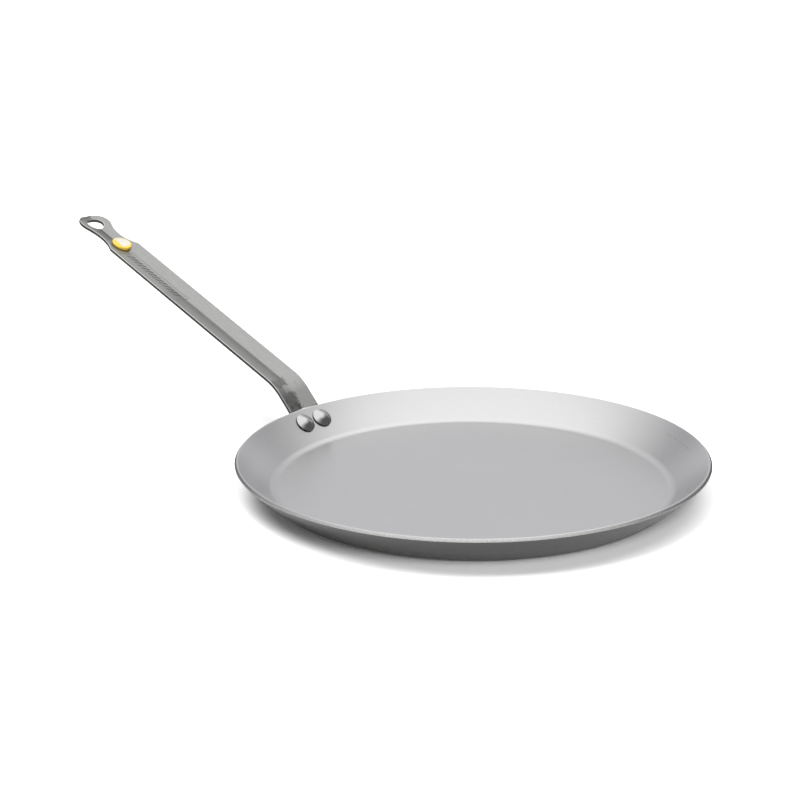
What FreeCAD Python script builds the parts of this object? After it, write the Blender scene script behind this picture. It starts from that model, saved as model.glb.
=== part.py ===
"""Crepe pan: a pressed steel dish, a gutter-shaped strip handle, two rivets and a pull-out handle button.

The origin is the centre of the base's underside, +Z is up and +X runs along the handle. Lengths are in
millimetres and angles in degrees. Every piece is written to its own file.
"""
import FreeCAD, Part
import math
import os

from FreeCAD import Vector

# Dish
rim_radius = 150.0
dish_height = 22.4
sheet = 2.5
wall_angle = 42.5
corner_radius = 12.0
rim_break = 0.4

# Handle strip and the gutter pressed along it
strip_width = 27.0
strip = 2.5
flank_angle = 10.5
crease_radius = 6.0

# Handle from the foot on the wall to the bend
foot_length = 22.0
foot_rise = 0.3
foot_corner = 5.0
flare_length = 2.0
leg_angle = 47.5
leg_length = 22.0
bend_radius = 36.0

# Handle from the bend to the hanging eyelet
bar_angle = 23.6
eyelet_reach = 221.2
eyelet_radius = 12.4
hanging_hole_radius = 6.4
neck_width = 17.0
neck_radius = 32.0
shoulder_radius = 3.0

# Rivets
rivet_margin = 5.2
rivet_drop = 10.9
shank_radius = 3.0
head_radius = 7.0
head_height = 3.4
head_edge = 0.8
head_tip = 8.0
tail_radius = 5.2
tail_height = 1.8
tail_edge = 0.5
tail_face = 3.6

# Button
button_setback = 32.2
button_radius = 7.3
button_face = 5.9
button_edge = 2.4
button_height = 3.5
stem_radius = 3.0
stem_tip = 1.6
stem_lead = 0.8

# Clearances
seat_gap = 0.05
shank_gap = 0.05
stem_gap = 0.08
button_gap = 0.2

# Values worked out from the sizes above
slope = math.radians(wall_angle)
tilt = math.radians(flank_angle)
half_width = strip_width / 2
rivet_spacing = strip_width - 2 * rivet_margin
button_reach = eyelet_reach - button_setback
rim_height = dish_height - sheet * math.cos(slope)
sideways = Vector(0, 1, 0)
cutter_reach = 2 * (dish_height + strip_width)


def along(angle):
    """Unit vector in the handle's plane that climbs away from the dish at an angle in degrees."""
    return Vector(math.cos(math.radians(angle)), 0, math.sin(math.radians(angle)))


def upward(angle):
    """Unit vector square to along(angle), on the strip's upper side."""
    return Vector(-math.sin(math.radians(angle)), 0, math.cos(math.radians(angle)))


def line(start, end):
    """Straight edge between two points."""
    return Part.LineSegment(start, end).toShape()


def arc(start, middle, end):
    """Round edge through three points."""
    return Part.Arc(start, middle, end).toShape()


def on_circle(centre, radius, angle):
    """Point on a circle in the XZ plane, with the angle in radians from +X."""
    return centre + Vector(radius * math.cos(angle), 0, radius * math.sin(angle))


def blunt_cone(radius, edge, crown, tip_radius):
    """Edges of a round-tipped cone in the XZ plane, from its crown on the Z axis out to its rim."""
    centre = Vector(0, 0, crown - tip_radius)
    rim = Vector(radius, 0, edge)
    reach = rim - centre
    lean = math.atan2(reach.z, reach.x) + math.acos(tip_radius / reach.Length)
    tangent = on_circle(centre, tip_radius, lean)
    middle = on_circle(centre, tip_radius, (lean + math.pi / 2) / 2)
    return [arc(Vector(0, 0, crown), middle, tangent), line(tangent, rim)]


def half_section(*points):
    """Straight edges through (radius, height) points of a half section in the XZ plane."""
    corners = [Vector(radius, 0, height) for radius, height in points]
    return [line(start, end) for start, end in zip(corners, corners[1:])]


def turned(edges):
    """Solid of a closed half section in the XZ plane, turned once about the Z axis."""
    return Part.Face(Part.Wire(Part.__sortEdges__(edges))).revolve(Vector(), Vector(0, 0, 1), 360)


def wall_point(drop):
    """Point on the outside of the wall, in the handle's plane, a distance down from the rim."""
    return Vector(rim_radius, 0, rim_height) - along(wall_angle) * drop


def dish_profile():
    """Edges of the dish's half section in the XZ plane, its rim square to the wall with broken corners."""
    wall = along(wall_angle)
    inward = upward(wall_angle)
    fall = rim_height - corner_radius * (1 - math.cos(slope))
    base_radius = rim_radius - fall / math.tan(slope) - corner_radius * math.sin(slope)
    centre = Vector(base_radius, 0, corner_radius)
    foot = -math.pi / 2
    bend_end = foot + slope
    bend_middle = foot + slope / 2
    inner_radius = corner_radius - sheet
    outer_rim = wall_point(0)
    inner_rim = outer_rim + inward * sheet
    outside = [
        line(Vector(0, 0, 0), Vector(base_radius, 0, 0)),
        arc(*(on_circle(centre, corner_radius, a) for a in (foot, bend_middle, bend_end))),
        line(on_circle(centre, corner_radius, bend_end), outer_rim - wall * rim_break),
    ]
    rim = [
        line(outer_rim - wall * rim_break, outer_rim + inward * rim_break),
        line(outer_rim + inward * rim_break, inner_rim - inward * rim_break),
        line(inner_rim - inward * rim_break, inner_rim - wall * rim_break),
    ]
    inside = [
        line(inner_rim - wall * rim_break, on_circle(centre, inner_radius, bend_end)),
        arc(*(on_circle(centre, inner_radius, a) for a in (bend_end, bend_middle, foot))),
        line(Vector(base_radius, 0, sheet), Vector(0, 0, sheet)),
        line(Vector(0, 0, sheet), Vector(0, 0, 0)),
    ]
    return outside + rim + inside


def inner_wall_radius():
    """Radius of the inside of the wall where the rivets go through it."""
    return (wall_point(rivet_drop) + upward(wall_angle) * sheet).x


def rivet_frame(side):
    """Place of a rivet: its origin on the outside of the wall, its Z axis through the wall into the dish."""
    turn = math.degrees(math.asin(side * rivet_spacing / 2 / inner_wall_radius()))
    tip = FreeCAD.Placement(wall_point(rivet_drop), FreeCAD.Rotation(sideways, -wall_angle))
    return FreeCAD.Placement(Vector(), FreeCAD.Rotation(Vector(0, 0, 1), turn)).multiply(tip)


def rivet_hole(side):
    """Cutter for a rivet's hole through the wall and the foot."""
    depth = 2 * (sheet + strip)
    hole = Part.makeCylinder(shank_radius + shank_gap, 2 * depth, Vector(0, 0, -depth))
    hole.Placement = rivet_frame(side)
    return hole


def make_dish():
    """The dish: its section turned about the centre, with the rivet holes."""
    return turned(dish_profile()).cut([rivet_hole(1), rivet_hole(-1)])


def section_wire(corner, angle, upper, lower):
    """Closed section of the strip from the points of its upper and its lower face, each (across, up).

    A face is given as its left edge, the middle of its left flank, the three points of its crease, the middle
    of its right flank and its right edge. The middle of a straight flank is None.
    """
    def place(point):
        return corner + sideways * point[0] + upward(angle) * point[1]

    def face_edges(points):
        edge_left, flank_left, crease, flank_right, edge_right = points
        return [flank_edge(edge_left, flank_left, crease[0]), arc(*map(place, crease)),
                flank_edge(crease[2], flank_right, edge_right)]

    def flank_edge(start, middle, end):
        if middle is None:
            return line(place(start), place(end))
        return arc(place(start), place(middle), place(end))

    left = line(place(upper[0]), place(lower[0]))
    right = line(place(upper[-1]), place(lower[-1]))
    return Part.Wire(Part.__sortEdges__([left] + face_edges(upper) + [right] + face_edges(lower)))


def gutter_face(depth, half):
    """Points of one face of the gutter, a depth below the upper face, to a half width on each side."""
    radius = crease_radius + depth
    across = radius * math.sin(tilt)
    up = crease_radius - radius * math.cos(tilt)
    edge = up + (half - across) * math.tan(tilt)
    crease = ((-across, up), (0, -depth), (across, up))
    return (-half, edge), None, crease, None, (half, edge)


def gutter_wire(corner, angle, half):
    """Section of the strip where it has its gutter."""
    return section_wire(corner, angle, gutter_face(0, half), gutter_face(strip, half))


def foot_face(drop, depth):
    """Points of one face of the foot, which curves with the wall, a depth outside the wall."""
    curve = wall_point(drop).x / math.sin(slope)
    radius = curve + depth
    crease_across = (crease_radius + depth - seat_gap) * math.sin(tilt)

    def at(across):
        return across, curve - math.sqrt(radius ** 2 - across ** 2)

    middle = (half_width + crease_across) / 2
    crease = (at(-crease_across), at(0), at(crease_across))
    return at(-half_width), at(-middle), crease, at(middle), at(half_width)


def foot_wire(drop):
    """Section of the foot, a distance down from the rim."""
    upper = foot_face(drop, seat_gap)
    lower = foot_face(drop, seat_gap + strip)
    return section_wire(wall_point(drop), wall_angle, upper, lower)


def make_foot(flare_end):
    """The foot, curved to the wall with its lower corners rounded, and its flare up to the gutter."""
    foot = Part.makeLoft([foot_wire(foot_length), foot_wire(-foot_rise), flare_end], True, True)
    side_edges = [edge for edge in foot.Edges if math.isclose(abs(edge.CenterOfMass.y), half_width)]
    lower_corners = sorted(side_edges, key=lambda edge: edge.CenterOfMass.z)[:2]
    return foot.makeFillet(foot_corner, lower_corners)


def leg_start():
    """Point on the gutter's bottom where the leg leaves the wall's line."""
    return wall_point(-foot_rise) - upward(wall_angle) * seat_gap


def bend_corner():
    """Point where the leg's and the bar's gutter bottoms would meet without the bend."""
    return leg_start() + along(leg_angle) * leg_length


def bend_run():
    """Length of strip that the bend takes from the leg and from the bar."""
    return bend_radius * math.tan(math.radians(leg_angle - bar_angle) / 2)


def bar_point(reach, across=0.0, up=0.0):
    """Point on the bar: along it from the bend's corner, across it and above the gutter's bottom."""
    return bend_corner() + along(bar_angle) * reach + sideways * across + upward(bar_angle) * up


def shoulder_reach():
    """How far along the bar its straight sides end, where the rounding of the shoulders begins."""
    neck = neck_centre()
    rise = neck.y - half_width + shoulder_radius
    return neck.x - math.sqrt((neck_radius + shoulder_radius) ** 2 - rise ** 2)


def neck_centre():
    """Centre of the neck's hollow on the bar: x along it, y across it. It touches the eyelet's round."""
    across = neck_width / 2 + neck_radius
    back = math.sqrt((eyelet_radius + neck_radius) ** 2 - across ** 2)
    return Vector(eyelet_reach - back, across, 0)


def end_outline():
    """Outline of the bar's end: shoulders, neck and eyelet, as a prism through the strip."""
    neck = neck_centre()
    eyelet = Vector(eyelet_reach, 0, 0)
    shoulder = Vector(shoulder_reach(), half_width - shoulder_radius, 0)
    into_neck = neck + (shoulder - neck).normalize() * neck_radius
    into_eyelet = eyelet + (neck - eyelet).normalize() * eyelet_radius
    hollow = neck + (into_neck + into_eyelet - neck * 2).normalize() * neck_radius
    shoulder_top = shoulder + Vector(0, shoulder_radius, 0)
    crown = shoulder + (shoulder_top + into_neck - shoulder * 2).normalize() * shoulder_radius
    tip = eyelet + Vector(eyelet_radius, 0, 0)

    def place(point, mirror):
        return bar_point(point.x, mirror * point.y, -cutter_reach / 2)

    edges = [line(place(shoulder_top, -1), place(shoulder_top, 1))]
    for mirror in (1, -1):
        edges.append(arc(place(shoulder_top, mirror), place(crown, mirror), place(into_neck, mirror)))
        edges.append(arc(place(into_neck, mirror), place(hollow, mirror), place(into_eyelet, mirror)))
    edges.append(arc(place(into_eyelet, 1), place(tip, 1), place(into_eyelet, -1)))
    outline = Part.Wire(Part.__sortEdges__(edges))
    return Part.Face(outline).extrude(upward(bar_angle) * cutter_reach)


def make_bar():
    """The bar from the bend to the tip of the eyelet, cut to its outline, with its two holes."""
    straight_end = shoulder_reach()
    start = gutter_wire(bar_point(bend_run()), bar_angle, half_width)
    straight = Part.Face(start).extrude(along(bar_angle) * (straight_end - bend_run()))
    wide = gutter_wire(bar_point(straight_end), bar_angle, strip_width)
    blank = Part.Face(wide).extrude(along(bar_angle) * (eyelet_reach + strip_width - straight_end))
    bar = straight.fuse(blank.common(end_outline()))
    hanging_hole = bar_hole(eyelet_reach, hanging_hole_radius)
    stem_hole = bar_hole(button_reach, stem_radius + stem_gap)
    return bar.cut([hanging_hole, stem_hole])


def bar_hole(reach, radius):
    """Cutter for a round hole square through the bar."""
    return Part.makeCylinder(radius, cutter_reach, bar_point(reach, 0, -cutter_reach / 2), upward(bar_angle))


def make_handle():
    """The handle: foot, flare into the gutter, leg, bend and bar of one strip."""
    leg = along(leg_angle)
    flare_end = gutter_wire(leg_start() + leg * flare_length, leg_angle, half_width)
    leg_run = leg_length - flare_length - bend_run()
    straight = Part.Face(flare_end).extrude(leg * leg_run)
    bend_start = leg_start() + leg * (flare_length + leg_run)
    bend_centre = bend_start - upward(leg_angle) * bend_radius
    bend_section = Part.Face(gutter_wire(bend_start, leg_angle, half_width))
    bend = bend_section.revolve(bend_centre, sideways, leg_angle - bar_angle)
    handle = make_foot(flare_end).fuse([straight, bend, make_bar()])
    return handle.cut([rivet_hole(1), rivet_hole(-1)]).removeSplitter()


def make_rivet(side):
    """A rivet: blunt conical head inside the dish, shank through wall and foot, flattened tail outside."""
    hug = head_radius ** 2 * math.sin(slope) / (2 * inner_wall_radius())
    head = sheet + seat_gap + hug
    tail = -strip - 2 * seat_gap
    outside = half_section((head_radius, head + head_edge), (head_radius, head), (shank_radius, head),
                           (shank_radius, tail), (tail_radius, tail), (tail_radius, tail - tail_edge),
                           (tail_face, tail - tail_height), (0, tail - tail_height), (0, head + head_height))
    edges = blunt_cone(head_radius, head + head_edge, head + head_height, head_tip) + outside
    rivet = turned(edges)
    rivet.Placement = rivet_frame(side)
    return rivet


def make_button():
    """The button: a flat-faced cap moulded to the gutter, on a stem through the handle."""
    tip = -strip - stem_tip
    edges = half_section((0, tip), (0, button_height), (button_face, button_height),
                         (button_radius, button_edge), (button_radius, -strip), (stem_radius, -strip),
                         (stem_radius, tip + stem_lead), (stem_radius - stem_lead, tip), (0, tip))
    button = turned(edges)
    button.Placement = FreeCAD.Placement(bar_point(button_reach), FreeCAD.Rotation(sideways, -bar_angle))
    return button.cut(gutter_bed())


def gutter_bed():
    """What the button's cap has to clear: the strip's upper side with the gap, round the stem."""
    start = bar_point(button_reach - strip_width, 0, button_gap)
    upper = gutter_face(0, strip_width)
    lower = gutter_face(2 * strip, strip_width)
    bed = Part.Face(section_wire(start, bar_angle, upper, lower)).extrude(along(bar_angle) * 2 * strip_width)
    return bed.cut(bar_hole(button_reach, stem_radius))


os.makedirs("parts", exist_ok=True)
pieces = {
    "pan_body": make_dish(),
    "handle": make_handle(),
    "left_rivet": make_rivet(1),
    "right_rivet": make_rivet(-1),
    "handle_button": make_button(),
}
for name, shape in pieces.items():
    shape.exportStep(f"parts/{name}.step")
    box = shape.BoundBox
    print(name, "solids", len(shape.Solids), "valid", shape.isValid(), "volume", round(shape.Volume, 1),
          "x", round(box.XMin, 2), round(box.XMax, 2), "z", round(box.ZMin, 2), round(box.ZMax, 2))
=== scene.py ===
"""Crepe pan, dressed: satin steel dish, gutter-pressed handle, polished rivets and a moulded button.

Lengths are in metres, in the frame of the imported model: the origin is the centre of the base's
underside, +Z is up and +X runs along the handle.
"""
from __future__ import annotations

import logging
import math
from dataclasses import dataclass, field
from enum import Enum
from typing import Any, Callable, Iterable, Sequence, Union

import bmesh
import bpy
from mathutils import Matrix, Vector
from mathutils.geometry import delaunay_2d_cdt
from mathutils.kdtree import KDTree

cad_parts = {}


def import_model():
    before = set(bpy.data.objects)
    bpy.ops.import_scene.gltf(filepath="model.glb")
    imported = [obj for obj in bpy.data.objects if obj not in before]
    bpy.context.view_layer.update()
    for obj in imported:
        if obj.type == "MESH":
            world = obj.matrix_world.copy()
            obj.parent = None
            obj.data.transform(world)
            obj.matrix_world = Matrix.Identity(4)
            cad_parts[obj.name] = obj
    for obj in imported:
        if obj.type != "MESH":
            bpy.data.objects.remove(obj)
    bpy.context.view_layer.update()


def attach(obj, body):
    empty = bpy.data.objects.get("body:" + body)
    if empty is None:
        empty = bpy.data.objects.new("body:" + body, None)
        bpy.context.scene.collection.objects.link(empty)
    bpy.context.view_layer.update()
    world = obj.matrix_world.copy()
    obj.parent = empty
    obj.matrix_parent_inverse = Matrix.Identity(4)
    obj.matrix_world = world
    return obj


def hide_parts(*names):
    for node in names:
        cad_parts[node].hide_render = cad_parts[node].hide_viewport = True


MM = 0.001
MERGE_DISTANCE = 0.002 * MM
WELD_DISTANCE = 0.0005 * MM
SAME_POINT = 0.01 * MM
MIDDLE_WIDTH = 1e-7
NET_TOLERANCE = 1e-9
log = logging.getLogger("crepe_pan")

Colour = tuple[float, float, float]
Triple = tuple[float, float, float]
Flat = tuple[float, float]
Step = tuple[float, float]
WHITE: Colour = (1.0, 1.0, 1.0)


class Body(Enum):
    """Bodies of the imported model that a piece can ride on."""

    PAN = "pan"
    BUTTON = "button"


class Slot(Enum):
    """Material slots of the record."""

    DISH = "dish_steel"
    HANDLE = "handle_steel"
    RIVET = "rivet_steel"
    BUTTON = "button_rubber"


class Zone(Enum):
    """Parts of a turned piece's surface, stored on its mesh for the finish."""

    OUTSIDE = 0.0
    CUT = 1.0
    INSIDE = 2.0


class Wire:
    """One output of a node, which Python's operators join into further nodes."""

    def __init__(self, graph: Graph, socket: bpy.types.NodeSocket) -> None:
        """Keeps the graph and the output socket."""
        self.graph = graph
        self.socket = socket

    def of(self, name: str) -> Wire:
        """Another output of the same node, by name."""
        return Wire(self.graph, self.socket.node.outputs[name])

    def math(self, operation: str, first: Value, second: Value = 0.0) -> Wire:
        """One Math node on two values."""
        return self.graph.add("ShaderNodeMath", {"operation": operation}, {0: first, 1: second})

    def __add__(self, other: Value) -> Wire:
        """Sum."""
        return self.math("ADD", self, other)

    def __radd__(self, other: Value) -> Wire:
        """Sum with the wire on the right."""
        return self.math("ADD", other, self)

    def __sub__(self, other: Value) -> Wire:
        """Difference."""
        return self.math("SUBTRACT", self, other)

    def __rsub__(self, other: Value) -> Wire:
        """Difference with the wire on the right."""
        return self.math("SUBTRACT", other, self)

    def __mul__(self, other: Value) -> Wire:
        """Product."""
        return self.math("MULTIPLY", self, other)

    def __truediv__(self, other: Value) -> Wire:
        """Quotient."""
        return self.math("DIVIDE", self, other)

    def __mod__(self, other: Value) -> Wire:
        """Remainder, always positive."""
        return self.math("FLOORED_MODULO", self, other)

    def __floordiv__(self, other: Value) -> Wire:
        """Whole quotient."""
        return self.math("FLOOR", self.math("DIVIDE", self, other))

    def __abs__(self) -> Wire:
        """Size without the sign."""
        return self.math("ABSOLUTE", self)

    def largest(self, other: Value) -> Wire:
        """The larger of two values."""
        return self.math("MAXIMUM", self, other)

    def sine(self) -> Wire:
        """Sine of an angle in radians."""
        return self.math("SINE", self)

    def cosine(self) -> Wire:
        """Cosine of an angle in radians."""
        return self.math("COSINE", self)

    def arcsine(self) -> Wire:
        """Angle in radians that has this sine."""
        return self.math("ARCSINE", self)

    def between(self, low: Value, high: Value) -> Wire:
        """Smooth step from 0 at low to 1 at high.

        Args:
            low: Value at which the step starts.
            high: Value at which the step is complete.

        Returns:
            The step, from 0 to 1.
        """
        return self.graph.add(
            "ShaderNodeMapRange",
            {"interpolation_type": "SMOOTHSTEP"},
            {"Value": self, "From Min": low, "From Max": high, "To Min": 0.0, "To Max": 1.0},
        )


Value = Union[float, Wire]


def mixed(shares: Sequence[float], *patterns: Wire) -> Wire:
    """Sum of patterns, each times its share."""
    return sum(pattern * share for share, pattern in zip(shares, patterns))


class Graph:
    """Adds nodes to one node tree."""

    def __init__(self, tree: bpy.types.NodeTree) -> None:
        """Keeps the tree."""
        self.tree = tree

    def add(
        self,
        kind: str,
        settings: dict[str, Any] | None = None,
        inputs: dict[Union[str, int], Any] | None = None,
    ) -> Wire:
        """Adds a node of any type.

        Args:
            kind: The node's type.
            settings: The node's own settings, set before its sockets.
            inputs: Values or wires for its input sockets, by name or place.

        Returns:
            The node's first live output.
        """
        node = self.tree.nodes.new(kind)
        for name, value in (settings or {}).items():
            setattr(node, name, value)
        for key, value in (inputs or {}).items():
            socket = self._input(node, key)
            if isinstance(value, Wire):
                self.tree.links.new(value.socket, socket)
            else:
                socket.default_value = value
        live = [socket for socket in node.outputs if socket.enabled]
        return Wire(self, live[0]) if live else Wire(self, None)

    @staticmethod
    def _input(node: bpy.types.Node, key: Union[str, int]) -> bpy.types.NodeSocket:
        """Finds an input socket.

        Args:
            node: The node.
            key: A live socket's name, or the place of any socket.

        Returns:
            The socket.
        """
        if isinstance(key, int):
            return node.inputs[key]
        return next(socket for socket in node.inputs if socket.enabled and socket.name == key)

    def vector(self, operation: str, first: Any, second: Any = (0.0, 0.0, 0.0)) -> Wire:
        """One Vector Math node on two vectors."""
        return self.add("ShaderNodeVectorMath", {"operation": operation}, {0: first, 1: second})

    def mix(self, share: Value, first: Any, second: Any) -> Wire:
        """Mixes two colours.

        Args:
            share: Share of the second colour.
            first: Colour or wire at a share of 0.
            second: Colour or wire at a share of 1.

        Returns:
            The mixed colour.
        """
        return self.add(
            "ShaderNodeMix",
            {"data_type": "RGBA", "clamp_factor": True},
            {"Factor": share, "A": self._colour(first), "B": self._colour(second)},
        )

    def scale(self, colour: Any, amount: Value) -> Wire:
        """Colour times a number."""
        return self.add("ShaderNodeVectorMath", {"operation": "SCALE"}, {0: colour, "Scale": amount})

    def split(self, vector: Wire) -> tuple[Wire, Wire, Wire]:
        """The three parts of a vector."""
        parts = self.add("ShaderNodeSeparateXYZ", inputs={0: vector})
        return parts, parts.of("Y"), parts.of("Z")

    def join(self, x: Value, y: Value, z: Value) -> Wire:
        """Vector of three values."""
        return self.add("ShaderNodeCombineXYZ", inputs={0: x, 1: y, 2: z})

    def noise(self, place: Wire, scale: float, detail: float = 2.0, roughness: float = 0.5) -> Wire:
        """Noise about 0, from about -0.5 to 0.5.

        Args:
            place: Coordinates in metres.
            scale: Waves per metre.
            detail: Number of finer octaves.
            roughness: Weight of the finer octaves.

        Returns:
            The noise value.
        """
        value = self.add(
            "ShaderNodeTexNoise",
            {"noise_dimensions": "3D"},
            {"Vector": place, "Scale": scale, "Detail": detail, "Roughness": roughness},
        )
        return value - 0.5

    def stretch(self, place: Wire, factors: Sequence[float]) -> Wire:
        """Coordinates scaled by a factor for each axis."""
        return self.vector("MULTIPLY", place, tuple(factors))

    @staticmethod
    def _colour(value: Any) -> Any:
        """A colour of three numbers with its alpha added, or a wire as it is."""
        return value if isinstance(value, Wire) else (*value, 1.0)


class Surface(Graph):
    """Node graph of one material, ending in a Principled shader."""

    def __init__(self, name: str) -> None:
        """Starts an empty material.

        Args:
            name: The material's name.
        """
        self.material = bpy.data.materials.new(name)
        self.material.use_nodes = True
        super().__init__(self.material.node_tree)
        self.tree.nodes.clear()
        self.place = self.add("ShaderNodeTexCoord").of("Object")

    def attribute(self, name: str) -> Wire:
        """The piece's own stored attribute, as a vector."""
        return self.add("ShaderNodeAttribute", {"attribute_name": name}).of("Vector")

    def number(self, name: str) -> Wire:
        """The piece's own stored attribute, as a number."""
        return self.add("ShaderNodeAttribute", {"attribute_name": name}).of("Fac")

    def bump(self, height: Wire, distance: float) -> Wire:
        """Normal from a height.

        Args:
            height: Height pattern.
            distance: Depth in metres for a height of one.

        Returns:
            The changed normal.
        """
        inputs = {"Strength": 1.0, "Distance": distance, "Height": height}
        return self.add("ShaderNodeBump", inputs=inputs)

    def shader(self, sockets: dict[str, Any]) -> Wire:
        """Principled shader with values or wires for its sockets by name."""
        return self.add("ShaderNodeBsdfPrincipled", inputs=sockets)

    def blend(self, share: Wire, first: Wire, second: Wire) -> Wire:
        """Mixes two shaders by a share of the second one."""
        return self.add("ShaderNodeMixShader", inputs={0: share, 1: first, 2: second})

    def close(self, shader: Wire) -> bpy.types.Material:
        """Ends the graph with a shader.

        Args:
            shader: The whole surface's shader.

        Returns:
            The finished material.
        """
        self.add("ShaderNodeOutputMaterial", inputs={"Surface": shader})
        return self.material

    def finish(self, sockets: dict[str, Any]) -> bpy.types.Material:
        """Closes the graph with one Principled shader.

        Args:
            sockets: Values or wires of the shader's sockets by name.

        Returns:
            The finished material.
        """
        return self.close(self.shader(sockets))


class GeometryTree(Graph):
    """Geometry Nodes tree with named inputs."""

    SOCKETS = {float: "NodeSocketFloat", int: "NodeSocketInt", bpy.types.Material: "NodeSocketMaterial"}

    def __init__(self, name: str, sizes: dict[str, Any]) -> None:
        """Starts a tree that takes a profile line and named sizes.

        Args:
            name: The tree's name.
            sizes: Values of the named inputs.
        """
        super().__init__(bpy.data.node_groups.new(name, "GeometryNodeTree"))
        face = self.tree.interface
        face.new_socket("Profile", in_out="INPUT", socket_type="NodeSocketGeometry")
        face.new_socket("Piece", in_out="OUTPUT", socket_type="NodeSocketGeometry")
        self.values: dict[str, Any] = {}
        for label, value in sizes.items():
            socket = face.new_socket(label, in_out="INPUT", socket_type=self.SOCKETS[type(value)])
            self.values[socket.identifier] = value
        self._entry = self.tree.nodes.new("NodeGroupInput")

    def given(self, name: str) -> Wire:
        """One of the tree's named inputs."""
        return Wire(self, self._entry.outputs[name])

    def lathe(self, segments: Wire, points: Wire) -> Wire:
        """Turns the profile line about the Z axis.

        Args:
            segments: Number of steps round the axis.
            points: Number of points of the profile.

        Returns:
            The turned mesh, closed at its seam and poles, with the profile's zone on its points.
        """
        profile = self.given("Profile")
        counts = {"Vertices X": segments + 1, "Vertices Y": points}
        grid = self.add("GeometryNodeMeshGrid", inputs=counts)
        named = self.add("GeometryNodeInputNamedAttribute", {"data_type": "FLOAT"}, {"Name": "zone"})
        index = self.add("GeometryNodeInputIndex")
        step = index // points
        row = index % points
        spot = self.add(
            "GeometryNodeSampleIndex",
            {"data_type": "FLOAT_VECTOR", "domain": "POINT"},
            {"Geometry": profile, "Value": self.add("GeometryNodeInputPosition"), "Index": row},
        )
        zone = self.add(
            "GeometryNodeSampleIndex",
            {"data_type": "FLOAT", "domain": "POINT"},
            {"Geometry": profile, "Value": named, "Index": row},
        )
        turned = self.add(
            "ShaderNodeVectorRotate",
            {"rotation_type": "Z_AXIS"},
            {"Vector": spot, "Angle": step * math.tau / segments},
        )
        marked = self.add(
            "GeometryNodeStoreNamedAttribute",
            {"data_type": "FLOAT", "domain": "POINT"},
            {"Geometry": grid, "Name": "zone", "Value": zone},
        )
        placed = self.add("GeometryNodeSetPosition", inputs={"Geometry": marked, "Position": turned})
        limits = {"Geometry": placed, "Distance": MERGE_DISTANCE}
        merged = self.add("GeometryNodeMergeByDistance", inputs=limits)
        return self.add("GeometryNodeSetShadeSmooth", inputs={"Geometry": merged})

    def close(self, geometry: Wire) -> None:
        """Ends the tree with Realize Instances and Set Material.

        Args:
            geometry: The whole piece.
        """
        real = self.add("GeometryNodeRealizeInstances", inputs={"Geometry": geometry})
        finish = self.given("Finish")
        dressed = self.add("GeometryNodeSetMaterial", inputs={"Geometry": real, "Material": finish})
        self.add("NodeGroupOutput", inputs={"Piece": dressed})

    def piece(self, name: str, profile: Profile) -> bpy.types.Object:
        """Runs the tree on a profile and keeps the result as a plain mesh.

        Args:
            name: The piece's name.
            profile: The line that the tree turns.

        Returns:
            The finished object, with no modifier left on it.
        """
        holder = add_object(name, profile.mesh(name))
        modifier = holder.modifiers.new("nodes", "NODES")
        modifier.node_group = self.tree
        for identifier, value in self.values.items():
            modifier[identifier] = value
        shown = holder.evaluated_get(bpy.context.evaluated_depsgraph_get())
        mesh = bpy.data.meshes.new_from_object(shown)
        holder.modifiers.clear()
        holder.data = mesh
        mesh.name = name
        return holder


def on_circle(centre: Flat, radius: float, angle: float) -> Flat:
    """Point of a circle at an angle in radians."""
    return centre[0] + radius * math.cos(angle), centre[1] + radius * math.sin(angle)


@dataclass
class Profile:
    """Line in the XZ half-plane that a lathe turns, with the zone of each point."""

    points: list[Flat] = field(default_factory=list)
    zones: list[float] = field(default_factory=list)

    def add(self, point: Flat, zone: Zone) -> None:
        """Adds one point."""
        self.points.append(point)
        self.zones.append(zone.value)

    def run(self, end: Flat, zone: Zone, step: float, lead: float, bow: Flat = (0.0, 0.0)) -> None:
        """Straight or slightly bowed line from the last point, with close points near both ends.

        Args:
            end: Radius and height of the line's end.
            zone: Zone of the new points.
            step: Longest distance between points.
            lead: Distance of the first and last inner point from the ends.
            bow: Shift of the line's middle.
        """
        start = Vector(self.points[-1])
        way = Vector(end) - start
        length = way.length
        inner = max(1, math.ceil((length - 2 * lead) / step))
        shares = [lead / length + (1 - 2 * lead / length) * i / inner for i in range(inner + 1)]
        for share in shares if length > 3 * lead else []:
            self.add(tuple(start + way * share + Vector(bow) * 4 * share * (1 - share)), zone)
        self.add(end, zone)

    def arc(self, centre: Flat, radius: float, start: float, end: float, steps: int, zone: Zone) -> None:
        """Round line about a centre.

        Args:
            centre: Radius and height of the centre.
            radius: Radius of the arc.
            start: First angle in radians, from the outward direction; its point is already there.
            end: Last angle in radians.
            steps: Number of new points.
            zone: Zone of the new points.
        """
        for i in range(1, steps + 1):
            angle = start + (end - start) * i / steps
            self.add(on_circle(centre, radius, angle), zone)

    def mesh(self, name: str) -> bpy.types.Mesh:
        """The line as a mesh of edges that carries its zones.

        Args:
            name: Name of the piece that the line is for.

        Returns:
            The mesh.
        """
        mesh = bpy.data.meshes.new(name + "_profile")
        edges = [(i, i + 1) for i in range(len(self.points) - 1)]
        mesh.from_pydata([(x, 0.0, z) for x, z in self.points], edges, [])
        mesh.attributes.new("zone", "FLOAT", "POINT").data.foreach_set("value", self.zones)
        return mesh


def add_object(name: str, mesh: bpy.types.Mesh) -> bpy.types.Object:
    """Puts a mesh in the scene as an object at the origin.

    Args:
        name: The object's name.
        mesh: Its mesh.

    Returns:
        The object.
    """
    piece = bpy.data.objects.new(name, mesh)
    bpy.context.scene.collection.objects.link(piece)
    return piece


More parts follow.
